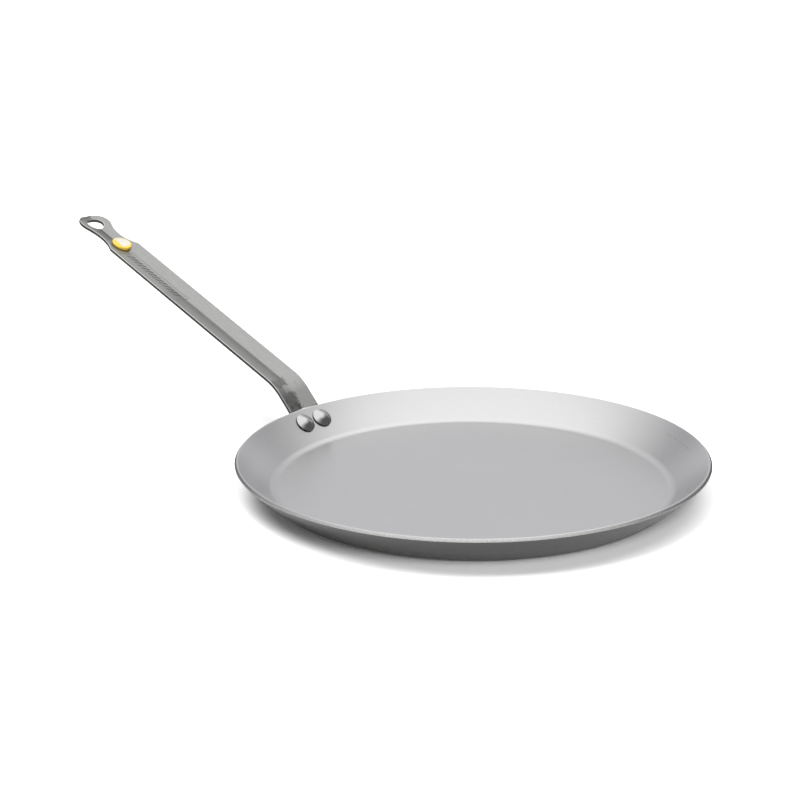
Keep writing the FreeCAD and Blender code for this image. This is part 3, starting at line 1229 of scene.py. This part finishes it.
@dataclass
class Handle:
    """One strip: a foot on the wall, a bent gutter-shaped bar, a neck and a hanging eyelet."""

    dish: Dish
    width: float = 27.0 * MM
    strip: float = 2.5 * MM
    tilt: float = math.radians(10.5)
    crease_radius: float = 6.0 * MM
    foot_length: float = 22.0 * MM
    foot_rise: float = 0.3 * MM
    foot_corner: float = 5.0 * MM
    flare_length: float = 2.4 * MM
    flare_drop: float = 2.9 * MM
    seat_gap: float = 0.05 * MM
    leg_angle: float = math.radians(47.5)
    leg_length: float = 22.0 * MM
    bend_radius: float = 36.0 * MM
    bar_angle: float = math.radians(23.6)
    eyelet_reach: float = 221.2 * MM
    eyelet_radius: float = 12.4 * MM
    hanging_hole_radius: float = 6.4 * MM
    neck_width: float = 17.0 * MM
    neck_radius: float = 32.0 * MM
    shoulder_radius: float = 3.0 * MM
    button_reach: float = 189.0 * MM
    button_hole_radius: float = 3.08 * MM
    edge_round: float = 0.55 * MM
    edge_rows: int = 4
    edge_share: float = 0.3
    foot_start: float = -0.4 * MM
    foot_step: float = 1.5 * MM
    side_step: float = 1.3 * MM
    corner_rows: int = 10
    shoulder_rows: int = 6
    neck_rows: int = 24
    eyelet_rows: int = 26
    hanging_hole_rows: int = 56
    button_hole_rows: int = 32
    grid: StripGrid = StripGrid()
    stamp: StampedPanel = field(default_factory=StampedPanel)

    @property
    def half_width(self) -> float:
        """Half of the strip's width."""
        return self.width / 2

    @property
    def bend_angle(self) -> float:
        """Angle that the bend turns through."""
        return self.leg_angle - self.bar_angle

    @property
    def bend_run(self) -> float:
        """Distance from the bend's corner to where its arc starts."""
        return self.bend_radius * math.tan(self.bend_angle / 2)

    @property
    def leg_start(self) -> float:
        """Strip length at which the foot ends and the leg starts."""
        return self.foot_length + self.foot_rise

    @property
    def bend_start(self) -> float:
        """Strip length at which the bend starts."""
        return self.leg_start + self.leg_length - self.bend_run

    @property
    def bend_end(self) -> float:
        """Strip length at which the bend ends."""
        return self.bend_start + self.bend_radius * self.bend_angle

    def run_at(self, reach: float) -> float:
        """Strip length of a point given by its distance from the bend's corner."""
        return self.bend_end + reach - self.bend_run

    def path(self, run: float) -> tuple[Vector, float]:
        """Place and slope of the gutter's bottom line.

        Args:
            run: Strip length from the foot's lower end.

        Returns:
            The point and the angle in radians.
        """
        slope = self.dish.slope
        start = self.dish.wall_point(-self.foot_rise) - upward(slope) * self.seat_gap
        if run <= self.leg_start:
            return start + along(slope) * (run - self.leg_start), slope
        if run <= self.bend_start:
            return start + along(self.leg_angle) * (run - self.leg_start), self.leg_angle
        begin = start + along(self.leg_angle) * (self.bend_start - self.leg_start)
        angle = self.leg_angle - min(self.bend_angle, (run - self.bend_start) / self.bend_radius)
        turn = self.bend_radius * (upward(angle) - upward(self.leg_angle))
        return begin + turn + along(angle) * max(0.0, run - self.bend_end), angle

    def gutter(self, across: float, depth: float) -> float:
        """Height of the gutter's upper or lower face above its bottom line.

        Args:
            across: Distance from the middle.
            depth: 0 for the upper face, the strip's thickness for the lower one.

        Returns:
            The height, negative on the lower face's middle.
        """
        radius = self.crease_radius + depth
        edge = radius * math.sin(self.tilt)
        offset = abs(across)
        if offset < edge:
            return self.crease_radius - math.sqrt(radius * radius - offset * offset)
        return self.crease_radius - radius * math.cos(self.tilt) + (offset - edge) * math.tan(self.tilt)

    def place(self, run: float, across: float, share: float, lift: float) -> Vector:
        """Maps strip coordinates to space.

        Args:
            run: Strip length from the foot's lower end.
            across: Distance from the middle, positive on the near side.
            share: 0 on the upper face, 1 on the lower face.
            lift: Extra height above that face.

        Returns:
            The point in metres.
        """
        spot, angle = self.path(run)
        flare = min(1.0, max(0.0, (run - self.leg_start + self.flare_drop) / self.flare_length))
        flare = flare * flare * (3 - 2 * flare)
        height = self.gutter(across, self.strip * share) + lift
        pressed = spot + upward(angle) * height + Vector((0.0, across, 0.0))
        if flare == 1.0:
            return pressed
        slope = self.dish.slope
        wall = self.dish.wall_point(self.foot_length - run)
        seat = wall - upward(slope) * (self.seat_gap + self.strip * share - lift)
        seated = Matrix.Rotation(across / wall.x, 3, "Z") @ seat
        return seated.lerp(pressed, flare)

    def outline(self) -> Loop:
        """Outline of the flat strip, clockwise from the foot's middle.

        Returns:
            The closed outline.
        """
        half = self.half_width
        corner = self.foot_corner
        eye = self.run_at(self.eyelet_reach)
        neck_across = self.neck_width / 2 + self.neck_radius
        sum_eye = self.neck_radius + self.eyelet_radius
        neck = (eye - math.sqrt(sum_eye ** 2 - neck_across ** 2), neck_across)
        bow = half - self.shoulder_radius
        sum_shoulder = self.neck_radius + self.shoulder_radius
        shoulder = (neck[0] - math.sqrt(sum_shoulder ** 2 - (neck_across - bow) ** 2), bow)
        turn = math.atan2(neck[1] - shoulder[1], neck[0] - shoulder[0])
        tie = math.atan2(neck[1], neck[0] - eye)
        quarter = math.pi / 2
        side = Loop()
        side.line((0.0, self.foot_start), (0.0, half - corner), self.foot_step, (1.0, 0.0))
        side.arc((corner, half - corner), corner, math.pi, quarter, self.corner_rows, -1.0)
        side.line((corner, half), (shoulder[0], half), self.side_step, (0.0, -1.0))
        side.arc(shoulder, self.shoulder_radius, quarter, turn, self.shoulder_rows, -1.0)
        side.arc(neck, self.neck_radius, turn - math.pi, tie - math.pi, self.neck_rows, 1.0)
        side.arc((eye, 0.0), self.eyelet_radius, tie, 0.0, self.eyelet_rows, -1.0)
        return self._mirrored(side)

    @staticmethod
    def _mirrored(side: Loop) -> Loop:
        """Closes a half outline with its mirror image.

        Args:
            side: The near half, from the foot's middle to the tip.

        Returns:
            The whole outline without doubled points.
        """
        whole = Loop()
        pairs = list(zip(side.points, side.inward))
        near = [pair for pair in pairs if pair[0][1] > MIDDLE_WIDTH or pair is pairs[-1]]
        far = [((p[0], -p[1]), (n[0], -n[1])) for p, n in reversed(near) if p[1] > MIDDLE_WIDTH]
        for point, normal in near + far:
            if whole.points and math.dist(point, whole.points[-1]) < SAME_POINT:
                continue
            whole.points.append(point)
            whole.inward.append(normal)
        return whole

    def hole(self, reach: float, radius: float, steps: int) -> Loop:
        """Round hole through the bar.

        Args:
            reach: Distance of its middle from the bend's corner.
            radius: Its radius.
            steps: Number of points.

        Returns:
            The hole's loop.
        """
        ring = Loop()
        ring.arc((self.run_at(reach), 0.0), radius, 0.0, math.tau * (1 - 1 / steps), steps - 1, 1.0)
        return ring

    def inner_points(self, loops: Sequence[Loop]) -> list[Flat]:
        """Points inside the outline that carry the gutter's form and the stamp.

        Args:
            loops: The outline and the holes.

        Returns:
            Points at a fair distance from every loop.
        """
        tree = KDTree(sum(len(loop.points) for loop in loops))
        for number, point in enumerate(point for loop in loops for point in loop.points):
            tree.insert((*point, 0.0), number)
        tree.balance()
        grid = self.grid
        stamp_low = self.run_at(self.stamp.start) - grid.stamp_margin
        stamp_high = self.run_at(self.stamp.end) + grid.stamp_margin
        end = self.run_at(self.eyelet_reach + self.eyelet_radius)
        holes = (
            ((self.run_at(self.eyelet_reach), 0.0), self.hanging_hole_radius),
            ((self.run_at(self.button_reach), 0.0), self.button_hole_radius),
        )
        points: list[Flat] = []
        run = grid.start
        while run < end:
            stamped = stamp_low < run < stamp_high
            for across in grid.rows(stamped):
                spot = (run, across)
                clear = tree.find((*spot, 0.0))[2] > self.edge_round + grid.edge_gap
                if clear and all(math.dist(spot, middle) >= radius for middle, radius in holes):
                    points.append(spot)
            run += grid.fine_step if stamped else grid.coarse_step
        return points

    def net(self, loops: Sequence[Loop]) -> tuple[list[Flat], list[tuple[int, ...]], list[list[int]]]:
        """Flat net of triangles between the loops, drawn in by the edge's rounding.

        Args:
            loops: The outline and the holes.

        Returns:
            The net's points, its triangles, and the numbers of the border points of each loop.
        """
        flat: list[Flat] = []
        rings: list[list[int]] = []
        for loop in loops:
            inner = loop.inset(self.edge_round)
            rings.append(list(range(len(flat), len(flat) + len(inner))))
            flat.extend(inner)
        borders = [pair for ring in rings for pair in zip(ring, ring[1:] + ring[:1])]
        flat.extend(self.inner_points(loops))
        found = delaunay_2d_cdt([Vector(point) for point in flat], borders, [], 1, NET_TOLERANCE)
        back = {old: new for new, olds in enumerate(found[3]) for old in olds}
        rings = [[back[i] for i in ring] for ring in rings]
        holes = [set(ring) for ring in rings[1:]]
        faces = [tuple(face) for face in found[2] if not any(hole.issuperset(face) for hole in holes)]
        return [tuple(spot) for spot in found[0]], faces, rings

    def build(self) -> bpy.types.Object:
        """Builds the strip as one closed solid with rounded edges.

        Returns:
            The handle, riding on the pan.
        """
        loops = [
            self.outline(),
            self.hole(self.eyelet_reach, self.hanging_hole_radius, self.hanging_hole_rows),
            self.hole(self.button_reach, self.button_hole_radius, self.button_hole_rows),
        ]
        spots, triangles, rings = self.net(loops)
        points: list[Vector] = []
        strip: list[Vector] = []
        stamp: list[float] = []
        for share in (0.0, 1.0):
            for run, across in spots:
                depth = self.stamp.depth(run - self.run_at(0.0), across) if share == 0.0 else 0.0
                points.append(self.place(run, across, share, -depth))
                strip.append(Vector((run, across, share)))
                stamp.append(depth / self.stamp.notch_depth)
        count = len(spots)
        faces = triangles + [(c + count, b + count, a + count) for a, b, c in triangles]
        for loop, top in zip(loops, rings):
            faces += self._edge(loop, top, [i + count for i in top], points, strip)
        stamp += [0.0] * (len(points) - len(stamp))
        used = sorted({i for face in faces for i in face})
        place = {old: new for new, old in enumerate(used)}
        handle = solid_piece(
            "handle_strip",
            [points[i] for i in used],
            [[place[i] for i in face] for face in faces],
            HandleSteel().material(),
            {"strip": [strip[i] for i in used], "stamp": [stamp[i] for i in used]},
        )
        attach(handle, Body.PAN.value)
        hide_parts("handle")
        return handle

    def _edge(
        self,
        loop: Loop,
        top: list[int],
        bottom: list[int],
        points: list[Vector],
        strip: list[Vector],
    ) -> list[tuple[int, ...]]:
        """Rounded edge rows and the side face along one loop.

        Args:
            loop: The loop in strip coordinates.
            top: Numbers of the upper face's border points.
            bottom: Numbers of the lower face's border points.
            points: All points so far; new ones are added.
            strip: Their strip coordinates; new ones are added.

        Returns:
            The new faces.
        """
        rows = [top]
        angles = [math.pi / 2 * (1 - i / (self.edge_rows - 1)) for i in range(1, self.edge_rows)]
        for share, turn in [(0.0, a) for a in angles] + [(1.0, a) for a in reversed(angles)]:
            drop = self.edge_round * (1 - math.sin(turn))
            row = []
            for run, across in loop.inset(self.edge_round * (1 - math.cos(turn))):
                row.append(len(points))
                points.append(self.place(run, across, share, drop if share else -drop))
                level = self.edge_share * math.cos(turn)
                strip.append(Vector((run, across, 1 - level if share else level)))
            rows.append(row)
        rows.append(bottom)
        return bands(rows)


@dataclass
class RivetPair:
    """Two solid rivets: a blunt conical head inside the wall, a shank and an upset tail outside.

    A pair of steps is the longest distance between the profile's points and the lead at its ends.
    """

    dish: Dish
    count: int = 2
    spacing: float = 16.6 * MM
    drop: float = 10.9 * MM
    head_radius: float = 7.0 * MM
    head_height: float = 3.4 * MM
    head_edge: float = 0.8 * MM
    head_base: float = 2.40 * MM
    head_break: float = 0.1 * MM
    tip_radius: float = 8.0 * MM
    shank_radius: float = 3.0 * MM
    tail_base: float = -2.6 * MM
    tail_radius: float = 5.2 * MM
    tail_height: float = 1.8 * MM
    tail_edge: float = 0.5 * MM
    tail_face: float = 3.6 * MM
    rounding: float = 0.25 * MM
    segments: int = 72
    face_steps: Flat = (2.0 * MM, 0.3 * MM)
    flat_steps: Flat = (2.0 * MM, 0.2 * MM)
    shank_steps: Flat = (3.0 * MM, 0.2 * MM)
    slant_steps: Flat = (1.0 * MM, 0.2 * MM)
    edge_steps: Flat = (1.0 * MM, 0.1 * MM)
    break_steps: Flat = (1.0 * MM, 0.05 * MM)
    bevel_rows: int = 4
    shoulder_rows: int = 5
    tip_rows: int = 8
    angle_rounds: int = 8

    def profile(self) -> Profile:
        """Half section, from the tail's middle outwards and up to the crown.

        Returns:
            The line for the lathe.
        """
        line = Profile()
        low = self.tail_base - self.tail_height
        r = self.rounding
        down = -math.pi / 2
        bevel = math.atan2(self.tail_height - self.tail_edge, self.tail_radius - self.tail_face)
        line.add((0.0, low), Zone.OUTSIDE)
        line.run((self.tail_face - r, low), Zone.OUTSIDE, *self.face_steps)
        line.arc((self.tail_face - r, low + r), r, down, down + bevel, self.bevel_rows, Zone.OUTSIDE)
        for radius, height, steps in (
            (self.tail_radius, self.tail_base - self.tail_edge, self.slant_steps),
            (self.tail_radius, self.tail_base, self.edge_steps),
            (self.shank_radius, self.tail_base, self.flat_steps),
            (self.shank_radius, self.head_base, self.shank_steps),
            (self.head_radius - self.head_break, self.head_base, self.flat_steps),
        ):
            line.run((radius, height), Zone.OUTSIDE, *steps)
        self._head(line)
        return line

    def _head(self, line: Profile) -> None:
        """Adds the head: a short edge, a rounded shoulder, a straight cone and a round tip.

        Args:
            line: The profile, which ends at the head's underside.
        """
        edge_top = self.head_base + self.head_edge
        crown = self.head_base + self.head_height
        rise = crown - edge_top
        angle = math.atan2(rise, self.head_radius)
        for _ in range(self.angle_rounds):
            flat_tip = self.tip_radius * (1 / math.cos(angle) - 1)
            angle = math.atan2(rise + flat_tip, self.head_radius)
        r = self.rounding
        top = math.pi / 2
        shoulder = (self.head_radius - r, edge_top - r / 2)
        tip = (0.0, crown - self.tip_radius)
        line.run((self.head_radius, self.head_base + self.head_break), Zone.CUT, *self.break_steps)
        line.run((self.head_radius, edge_top - r / 2), Zone.CUT, *self.edge_steps)
        line.arc(shoulder, r, 0.0, top - angle, self.shoulder_rows, Zone.INSIDE)
        line.run(on_circle(tip, self.tip_radius, top - angle), Zone.INSIDE, *self.slant_steps)
        line.arc(tip, self.tip_radius, top - angle, top, self.tip_rows, Zone.INSIDE)
        line.points[-1] = (0.0, crown)

    def build(self) -> bpy.types.Object:
        """Turns one rivet and sets it on the wall twice with Geometry Nodes.

        Returns:
            Both rivets as one piece, riding on the pan.
        """
        line = self.profile()
        seat = self.dish.wall_point(self.drop)
        sizes = {
            "Segments": self.segments,
            "Profile Points": len(line.points),
            "Count": self.count,
            "Seat Radius": seat.x,
            "Seat Height": seat.z,
            "Spacing": self.spacing,
            "Wall Slope": self.dish.slope,
            "Finish": RivetSteel().material(),
        }
        tree = GeometryTree("rivet_pair", sizes)
        rivet = tree.lathe(tree.given("Segments"), tree.given("Profile Points"))
        index = tree.add("GeometryNodeInputIndex")
        middle = (tree.given("Count") - 1) / 2
        radius = tree.given("Seat Radius")
        turn = (index - middle) * (tree.given("Spacing") / 2 / radius).arcsine() * 2
        around = tree.join(radius * turn.cosine(), radius * turn.sine(), tree.given("Seat Height"))
        places = {"Count": tree.given("Count"), "Position": around}
        seats = tree.add("GeometryNodePoints", inputs=places)
        aim = tree.join(0.0, 0.0 - tree.given("Wall Slope"), turn)
        pair = tree.add(
            "GeometryNodeInstanceOnPoints",
            inputs={"Points": seats, "Instance": rivet, "Rotation": aim},
        )
        tree.close(pair)
        rivets = tree.piece("rivets", line)
        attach(rivets, Body.PAN.value)
        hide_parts("left_rivet", "right_rivet")
        return rivets


Ring = Callable[[float], Flat]


@dataclass
class Button:
    """Moulded push-in button: a cap shaped to the gutter, a stem, and a plain pale plate on its face."""

    handle: Handle
    radius: float = 7.3 * MM
    height: float = 3.0 * MM
    gap: float = 0.2 * MM
    face_round: float = 0.65 * MM
    skirt: float = 0.15 * MM
    stem_radius: float = 3.0 * MM
    stem_tip: float = 1.6 * MM
    stem_lead: float = 0.8 * MM
    stem_ring: float = 0.3 * MM
    stem_start: float = -0.4 * MM
    stem_end: float = -4.1 * MM
    plate_radius: float = 6.2 * MM
    plate_near: float = 2.8 * MM
    plate_end: float = 5.2 * MM
    plate_corner: float = 0.8 * MM
    plate_rise: float = 0.12 * MM
    plate_sink: float = 0.5 * MM
    plate_edge: tuple[Flat, ...] = ((1.0, 0.3), (0.99, 0.8), (0.965, 1.0))
    face_shares: tuple[float, ...] = (0.25, 0.5, 0.75, 0.95)
    under_shares: tuple[float, ...] = (0.8, 0.6)
    round_rows: int = 6
    plate_rows: int = 40
    corner_rows: int = 8
    segments: int = 64
    yellow: Moulding = Moulding("button_yellow", (0.96, 0.68, 0.10), (0.93, 0.61, 0.075), 0.38)
    pale: Moulding = Moulding("button_pale", (0.81, 0.78, 0.69), (0.78, 0.745, 0.645), 0.34)

    def place(self, along_bar: float, across: float, height: float) -> Vector:
        """Point by its distances from the button's axis and its height over the gutter's bottom."""
        spot, angle = self.handle.path(self.handle.run_at(self.handle.button_reach))
        return spot + along(angle) * along_bar + Vector((0.0, across, 0.0)) + upward(angle) * height

    def _underside(self, radius: float, angle: float) -> float:
        """Height of the cap's lower face, a little over the gutter."""
        return self.handle.gutter(radius * math.sin(angle), 0.0) + self.gap

    def rings(self) -> list[Ring]:
        """Rings of the cap and stem from the face's middle to the stem's end.

        Returns:
            For each ring, a function from the angle round the axis to its radius and height.
        """
        rings: list[Ring] = []
        for share in self.face_shares:
            rings.append(lambda a, r=(self.radius - self.face_round) * share: (r, self.height))
        for i in range(self.round_rows + 1):
            turn = math.pi / 2 * i / self.round_rows
            radius = self.radius - self.face_round * (1 - math.sin(turn))
            height = self.height - self.face_round * (1 - math.cos(turn))
            rings.append(lambda a, r=radius, h=height: (r, max(h, self._underside(r, a) + self.skirt)))
        rings.append(lambda a: (self.radius, self._underside(self.radius, a) + self.skirt))
        under = [self.radius * share for share in self.under_shares]
        for radius in (self.radius - self.skirt, *under, self.stem_radius):
            rings.append(lambda a, r=radius: (r, self._underside(r, a)))
        for radius, height in (
            (self.stem_radius, self.stem_start),
            (self.stem_radius, self.stem_end + self.stem_lead + self.stem_ring),
            (self.stem_radius, self.stem_end + self.stem_lead),
            (self.stem_tip, self.stem_end),
        ):
            rings.append(lambda a, r=radius, h=height: (r, h))
        return rings

    def build_cap(self) -> bpy.types.Object:
        """Builds the cap with its stem.

        Returns:
            The cap, riding on the button.
        """
        rings = self.rings()
        count = self.segments
        points = [self.place(0.0, 0.0, self.height)]
        for ring in rings:
            for i in range(count):
                angle = math.tau * i / count
                radius, height = ring(angle)
                points.append(self.place(radius * math.cos(angle), radius * math.sin(angle), height))
        points.append(self.place(0.0, 0.0, self.stem_end))
        last = len(points) - 1
        faces: list[tuple[int, ...]] = []
        for i in range(count):
            j = (i + 1) % count
            faces.append((0, 1 + i, 1 + j))
            for row in range(len(rings) - 1):
                upper = 1 + row * count
                lower = upper + count
                faces.append((upper + i, lower + i, lower + j, upper + j))
            tail = 1 + (len(rings) - 1) * count
            faces.append((last, tail + j, tail + i))
        cap = solid_piece("button_cap", points, faces, self.yellow.material())
        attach(cap, Body.BUTTON.value)
        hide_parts("handle_button")
        return cap

    def plate_outline(self) -> list[Flat]:
        """Outline of the plate: a disc cut straight along the near side and across the pan's side.

        Returns:
            Points along and across the bar.
        """
        far = math.acos(-self.plate_end / self.plate_radius)
        near = math.asin(self.plate_near / self.plate_radius)
        outline: list[Flat] = []
        for i in range(self.plate_rows + 1):
            angle = near + (-far - near) * i / self.plate_rows
            outline.append(on_circle((0.0, 0.0), self.plate_radius, angle))
        centre = (self.plate_corner - self.plate_end, self.plate_near - self.plate_corner)
        for i in range(self.corner_rows + 1):
            angle = math.pi - math.pi / 2 * i / self.corner_rows
            outline.append(on_circle(centre, self.plate_corner, angle))
        return outline

    def build_plate(self) -> bpy.types.Object:
        """Builds the plain pale plate on the cap's face.

        Returns:
            The plate, riding on the button.
        """
        outline = self.plate_outline()
        rows = [(1.0, -self.plate_sink)]
        rows += [(share, self.plate_rise * rise) for share, rise in self.plate_edge]
        points: list[Vector] = []
        numbers: list[list[int]] = []
        for share, rise in rows:
            numbers.append(list(range(len(points), len(points) + len(outline))))
            points += [self.place(x * share, y * share, self.height + rise) for x, y in outline]
        faces = [tuple(numbers[0]), tuple(numbers[-1]), *bands(numbers)]
        plate = solid_piece("button_plate", points, faces, self.pale.material())
        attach(plate, Body.BUTTON.value)
        return plate


def aim(heading: float, height: float, back: Vector, right: Vector) -> Vector:
    """Direction in the studio.

    Args:
        heading: Degrees to the right of the picture's back.
        height: Degrees above the floor.
        back: Level direction from the camera to the back.
        right: Level direction to the picture's right.

    Returns:
        The unit vector.
    """
    turn = math.radians(heading)
    rise = math.radians(height)
    level = back * math.cos(turn) + right * math.sin(turn)
    return level * math.cos(rise) + Vector((0.0, 0.0, math.sin(rise)))


@dataclass(frozen=True)
class Glow:
    """Soft patch of the studio's surround that is lighter or darker than the rest."""

    heading: float
    height: float
    inner: float
    outer: float
    light: Colour


@dataclass(frozen=True)
class SoftSun:
    """Distant lamp with soft shadows, for the whole scene or for the floor alone."""

    name: str
    heading: float
    height: float
    spread: float
    strength: float
    floor_only: bool


@dataclass
class Studio:
    """Plain white floor, soft surrounding light and the camera at the photograph's angle."""

    eye: Vector = field(default_factory=lambda: Vector((-0.60236, 0.75095, 0.34587)))
    heading: float = math.radians(-138.57)
    pitch: float = math.radians(90.0 - 16.724)
    roll: float = math.radians(-0.528)
    lens: float = 72.0
    sensor: float = 36.0
    clip: Flat = (0.01, 100.0)
    floor_size: float = 30.0
    floor_gap: float = 0.1 * MM
    floor_tone: float = 0.98
    floor_glow: float = 0.05
    surround: Colour = (0.15, 0.15, 0.15)
    ambient: Colour = (0.18, 0.18, 0.185)
    glows: tuple[Glow, ...] = (
        Glow(-10.0, 88.0, 28.0, 48.0, (0.69, 0.69, 0.675)),
        Glow(-20.0, 84.0, 40.0, 64.0, (0.82, 0.82, 0.81)),
        Glow(-66.0, 26.0, 10.0, 40.0, (0.20, 0.20, 0.205)),
        Glow(-34.0, 4.0, 8.0, 26.0, (0.16, 0.16, 0.163)),
        Glow(-8.0, 7.0, 10.0, 30.0, (0.66, 0.66, 0.675)),
        Glow(26.0, 3.0, 8.0, 26.0, (0.61, 0.61, 0.625)),
        Glow(12.0, 40.0, 8.0, 28.0, (0.13, 0.13, 0.13)),
        Glow(34.0, 34.0, 8.0, 32.0, (0.24, 0.24, 0.24)),
    )
    lamps: tuple[SoftSun, ...] = (
        SoftSun("front_key", 158.0, 40.0, 26.0, 1.86, False),
        SoftSun("left_light", -82.0, 66.0, 38.0, 2.75, True),
        SoftSun("top_light", 60.0, 72.0, 40.0, 1.50, False),
    )

    @property
    def back(self) -> Vector:
        """Level direction from the camera to the back of the picture."""
        return Vector((-math.sin(self.heading), math.cos(self.heading), 0.0))

    @property
    def right(self) -> Vector:
        """Level direction to the right of the picture."""
        return Vector((self.back.y, -self.back.x, 0.0))

    def build_lamps(self, floor: bpy.types.Object) -> None:
        """Adds the soft lamps that light floor and plastic; metal mirrors the surround instead.

        Args:
            floor: The floor, which some lamps light alone.
        """
        paper = bpy.data.collections.new("floor_light")
        paper.objects.link(floor)
        for sun in self.lamps:
            data = bpy.data.lights.new(sun.name, "SUN")
            data.energy = sun.strength
            data.angle = math.radians(sun.spread)
            lamp = bpy.data.objects.new(sun.name, data)
            way = aim(sun.heading, sun.height, self.back, self.right)
            turn = way.to_track_quat("Z", "Y").to_matrix().to_4x4()
            lamp.matrix_world = Matrix.Translation(way) @ turn
            lamp.visible_camera = False
            lamp.visible_glossy = False
            if sun.floor_only:
                lamp.light_linking.receiver_collection = paper
            bpy.context.scene.collection.objects.link(lamp)

    def build_camera(self) -> bpy.types.Object:
        """Sets the camera at the photograph's viewing angle.

        Returns:
            The camera.
        """
        data = bpy.data.cameras.new("camera")
        data.lens = self.lens
        data.sensor_width = self.sensor
        data.clip_start, data.clip_end = self.clip
        camera = bpy.data.objects.new("camera", data)
        turn = Matrix.Rotation(self.heading, 4, "Z") @ Matrix.Rotation(self.pitch, 4, "X")
        turn = turn @ Matrix.Rotation(self.roll, 4, "Z")
        camera.matrix_world = Matrix.Translation(self.eye) @ turn
        bpy.context.scene.collection.objects.link(camera)
        bpy.context.scene.camera = camera
        return camera

    def build_floor(self) -> bpy.types.Object:
        """Lays a plain white floor that keeps the pan's shadow.

        Returns:
            The floor.
        """
        half = self.floor_size / 2
        mesh = bpy.data.meshes.new("floor")
        corners = [(-half, -half), (half, -half), (half, half), (-half, half)]
        mesh.from_pydata([(x, y, -self.floor_gap) for x, y in corners], [], [(0, 1, 2, 3)])
        s = Surface("floor_white")
        path = s.add("ShaderNodeLightPath")
        seen = path.of("Is Camera Ray").largest(path.of("Is Glossy Ray"))
        strength = seen.largest(path.of("Is Transmission Ray")) * self.floor_glow
        paper = s.add("ShaderNodeBsdfDiffuse", inputs={"Color": (*[self.floor_tone] * 3, 1.0)})
        glow = s.add("ShaderNodeEmission", inputs={"Color": (*WHITE, 1.0), "Strength": strength})
        both = s.add("ShaderNodeAddShader", inputs={0: paper, 1: glow})
        s.add("ShaderNodeOutputMaterial", inputs={"Surface": both})
        mesh.materials.append(s.material)
        floor = add_object("floor", mesh)
        return floor

    def build_world(self) -> bpy.types.World:
        """Makes the surround: white to the camera, soft patches of light to everything else.

        Returns:
            The world.
        """
        world = bpy.data.worlds.new("studio")
        bpy.context.scene.world = world
        world.use_nodes = True
        world.node_tree.nodes.clear()
        g = Graph(world.node_tree)
        way = g.add("ShaderNodeTexCoord")
        total: Any = self.ambient
        for glow in self.glows:
            middle = aim(glow.heading, glow.height, self.back, self.right)
            facing = g.vector("DOT_PRODUCT", way, tuple(middle)).of("Value")
            edges = [math.cos(math.radians(angle)) for angle in (glow.outer, glow.inner)]
            total = g.vector("ADD", total, g.scale(glow.light, facing.between(*edges)))
        path = g.add("ShaderNodeLightPath")
        seen = path.of("Is Camera Ray").largest(path.of("Is Transmission Ray"))
        light = g.mix(path.of("Is Glossy Ray"), self.surround, total)
        shade = g.mix(seen, light, WHITE)
        sky = g.add("ShaderNodeBackground", inputs={"Color": shade, "Strength": 1.0})
        g.add("ShaderNodeOutputWorld", inputs={"Surface": sky})
        return world

    def build(self) -> None:
        """Sets up the camera, the floor, the surround and the plain view transform."""
        self.build_camera()
        self.build_lamps(self.build_floor())
        self.build_world()
        bpy.context.scene.view_settings.view_transform = "Standard"


def main() -> None:
    """Loads the frame, then builds the studio and every piece of the pan."""
    logging.basicConfig(level=logging.INFO, format="%(name)s: %(message)s")
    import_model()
    Studio().build()
    dish = Dish()
    handle = Handle(dish)
    button = Button(handle)
    rivets = RivetPair(dish)
    for build in (dish.build, handle.build, rivets.build, button.build_cap, button.build_plate):
        piece = build()
        log.info("%s: %d faces", piece.name, len(piece.data.polygons))


if __name__ == "__main__":
    main()
